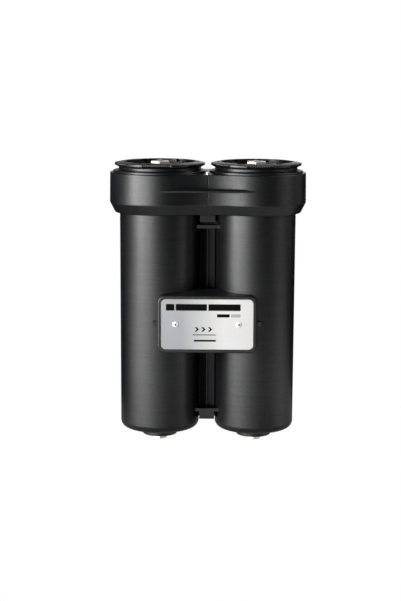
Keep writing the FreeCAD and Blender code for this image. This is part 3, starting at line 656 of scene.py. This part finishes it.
def print_patch(name, outline, material):
    """A thin printed patch; outline is (x, z) from the plate's centre."""
    count = len(outline)
    verts = [((PLATE_X + x) * MM, y * MM, (PLATE_Z + z) * MM)
             for y in (PLATE_FRONT - INK_PROUD, PLATE_FRONT + INK_SUNK) for x, z in outline]
    faces = [tuple(range(count)), tuple(reversed(range(count, 2 * count)))]
    for i in range(count):
        j = (i + 1) % count
        faces.append((i, count + i, count + j, j))
    patch = new_object(name, verts, faces, material, smooth_deg=20.0)
    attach(patch, "casing")


def round_bar(left, right, bottom, top, radius, steps=8):
    """Outline of a bar with rounded corners, from its bottom right corner."""
    outline = []
    for x, z, start in ((right - radius, bottom + radius, -90), (right - radius, top - radius, 0),
                        (left + radius, top - radius, 90), (left + radius, bottom + radius, 180)):
        for i in range(steps + 1):
            angle = math.radians(start + 90.0 * i / steps)
            outline.append((x + radius * math.cos(angle), z + radius * math.sin(angle)))
    return outline


for name, left, right, bottom, top, radius, ink_key in BARS:
    print_patch(name, round_bar(left, right, bottom, top, radius), MATERIALS[ink_key])
for i in range(3):
    outline = [(CHEVRON_X + CHEVRON_PITCH * i + CHEVRON_HALF * x, CHEVRON_Z + CHEVRON_HALF * z)
               for x, z in CHEVRON]
    print_patch("plate_flow_chevron_%d" % (i + 1), outline, MATERIALS["ink"])


# ------------------------------------------------------------------ floor and world
def make_floor():
    """A glowing white floor that only the camera sees and that takes no shadow."""
    bm = bmesh.new()
    bmesh.ops.create_grid(bm, x_segments=1, y_segments=1, size=14.0)
    mesh = bpy.data.meshes.new("studio_floor")
    bm.to_mesh(mesh)
    bm.free()
    floor = bpy.data.objects.new("studio_floor", mesh)
    floor.location = (0, 0, -0.0005)
    bpy.context.scene.collection.objects.link(floor)

    material = bpy.data.materials.new("pale_floor")
    tree = blank_tree(material)
    output = tree.nodes.new("ShaderNodeOutputMaterial")
    glow = tree.nodes.new("ShaderNodeEmission")
    glow.inputs["Color"].default_value = (1, 1, 1, 1)
    glow.inputs["Strength"].default_value = 1.0
    tree.links.new(glow.outputs[0], output.inputs["Surface"])
    mesh.materials.append(material)
    floor.visible_glossy = False
    floor.visible_diffuse = False
    floor.visible_shadow = False


def make_world():
    """White to the camera, black to every other ray."""
    world = bpy.data.worlds.new("studio")
    bpy.context.scene.world = world
    tree = blank_tree(world)
    output = tree.nodes.new("ShaderNodeOutputWorld")
    mix = tree.nodes.new("ShaderNodeMixShader")
    rays = tree.nodes.new("ShaderNodeLightPath")
    tree.links.new(rays.outputs["Is Camera Ray"], mix.inputs[0])
    for index, strength in ((1, 0.0), (2, 1.0)):
        background = tree.nodes.new("ShaderNodeBackground")
        background.inputs["Color"].default_value = (1, 1, 1, 1)
        background.inputs["Strength"].default_value = strength
        tree.links.new(background.outputs[0], mix.inputs[index])
    tree.links.new(mix.outputs[0], output.inputs["Surface"])


make_floor()
make_world()

# ------------------------------------------------------------------ lights
PANEL_DISTANCE = 1.5
PANEL_WIDTH = 0.40
PANEL_AIM = (0, 0, 0.20)
# degrees to the right of the front, height of centre, panel height, radiance
PANELS = (
    (-15, -0.15, 0.55, 1.404), (-15, 0.40, 0.55, 1.270),
    (-30, -0.15, 0.55, 2.606), (-30, 0.40, 0.55, 8.289),
    (-45, -0.15, 0.55, 4.036), (-45, 0.40, 0.55, 9.918),
    (-60, 1.05, 0.75, 19.620), (-60, -0.15, 0.55, 4.235), (-60, 0.40, 0.55, 18.822),
    (-75, -0.15, 0.55, 2.736), (-75, 0.40, 0.55, 0.137),
    (-90, -0.15, 0.55, 0.939),
    (0, -0.15, 0.55, 0.826),
    (15, -0.15, 0.55, 0.169),
    (45, -0.15, 0.55, 0.109),
    (60, -0.15, 0.55, 0.364), (60, 0.40, 0.55, 0.539),
    (75, -0.15, 0.55, 0.884), (75, 0.40, 0.55, 1.047),
    (90, 1.05, 0.75, 6.806), (90, -0.15, 0.55, 0.734), (90, 0.40, 0.55, 0.032),
)
# location, width, height, radiance, aim; the last four lie at floor level and face up
FREE_LIGHTS = (
    ((0.25, 1.55, 0.42), 0.8, 0.9, 1.3, (0, 0, 0.22)),
    ((-0.35, 1.50, 0.30), 0.5, 0.9, 0.8, (0, 0, 0.22)),
    ((0, 1, 1.3), 1.4, 0.7, 0.429, (0, 0, 0.3)),
    ((1, 0.9, 0.9), 0.7, 0.7, 0.062, (0, 0, 0.3)),
    ((0, 1.6, 0.75), 1.6, 0.5, 0.040, (0, 0, 0.3)),
    ((0.9, 0, 1.5), 0.8, 0.8, 1.107, (0, 0, 0.3)),
    ((1.5, 0.6, 0.5), 0.8, 0.7, 0.321, (0, 0, 0.35)),
    ((0, -0.95, -0.004), 1.6, 0.6, 0.310, (0, -0.95, 1)),
    ((0, -0.42, -0.004), 0.9, 0.45, 0.502, (0, -0.42, 1)),
    ((0.45, -0.1, -0.004), 0.4, 0.6, 0.524, (0.45, -0.1, 1)),
    ((0, 0, -0.004), 0.5, 0.38, 0.273, (0, 0, 1)),
)


def soft_box(name, location, width, height, radiance, aim):
    """An area light; radiance is what a mirror would show."""
    data = bpy.data.lights.new(name, "AREA")
    data.shape = "RECTANGLE"
    data.size, data.size_y = width, height
    data.energy = radiance * math.pi * width * height
    light = bpy.data.objects.new(name, data)
    light.location = location
    direction = Vector(aim) - light.location
    light.rotation_euler = direction.to_track_quat("-Z", "Z").to_euler()
    bpy.context.scene.collection.objects.link(light)


for i, (azimuth, z, height, radiance) in enumerate(PANELS):
    angle = math.radians(azimuth)
    location = (math.sin(angle) * PANEL_DISTANCE, -math.cos(angle) * PANEL_DISTANCE, z)
    soft_box("panel_%02d" % i, location, PANEL_WIDTH, height, radiance, PANEL_AIM)
for i, light_values in enumerate(FREE_LIGHTS):
    soft_box("free_%02d" % i, *light_values)

for obj in bpy.data.objects:
    if obj.type == "LIGHT":
        obj.visible_camera = False

# ------------------------------------------------------------------ camera and output
CAMERA_TARGET = (-0.00925, 0, 0.19029)
CAMERA_DISTANCE = 1.970
ELEVATION = math.radians(9.60)
AZIMUTH = math.radians(-0.476)                  # negative puts the camera to the right
ROLL = math.radians(0.285)

camera_data = bpy.data.cameras.new("camera")
camera = bpy.data.objects.new("camera", camera_data)
bpy.context.scene.collection.objects.link(camera)
outward = Vector((-math.sin(AZIMUTH) * math.cos(ELEVATION),
                  -math.cos(AZIMUTH) * math.cos(ELEVATION), math.sin(ELEVATION)))
camera.location = Vector(CAMERA_TARGET) + outward * CAMERA_DISTANCE
level_view = (-outward).to_track_quat("-Z", "Y").to_matrix().to_4x4()
camera.rotation_euler = (level_view @ Matrix.Rotation(ROLL, 4, "Z")).to_euler()
camera_data.sensor_width = 36.0
camera_data.lens = 87.250582
camera_data.clip_start, camera_data.clip_end = 0.05, 60.0
bpy.context.scene.camera = camera

view = bpy.context.scene.view_settings
view.view_transform = "Standard"
view.look = "None"
view.exposure = 0.0
view.gamma = 1.0
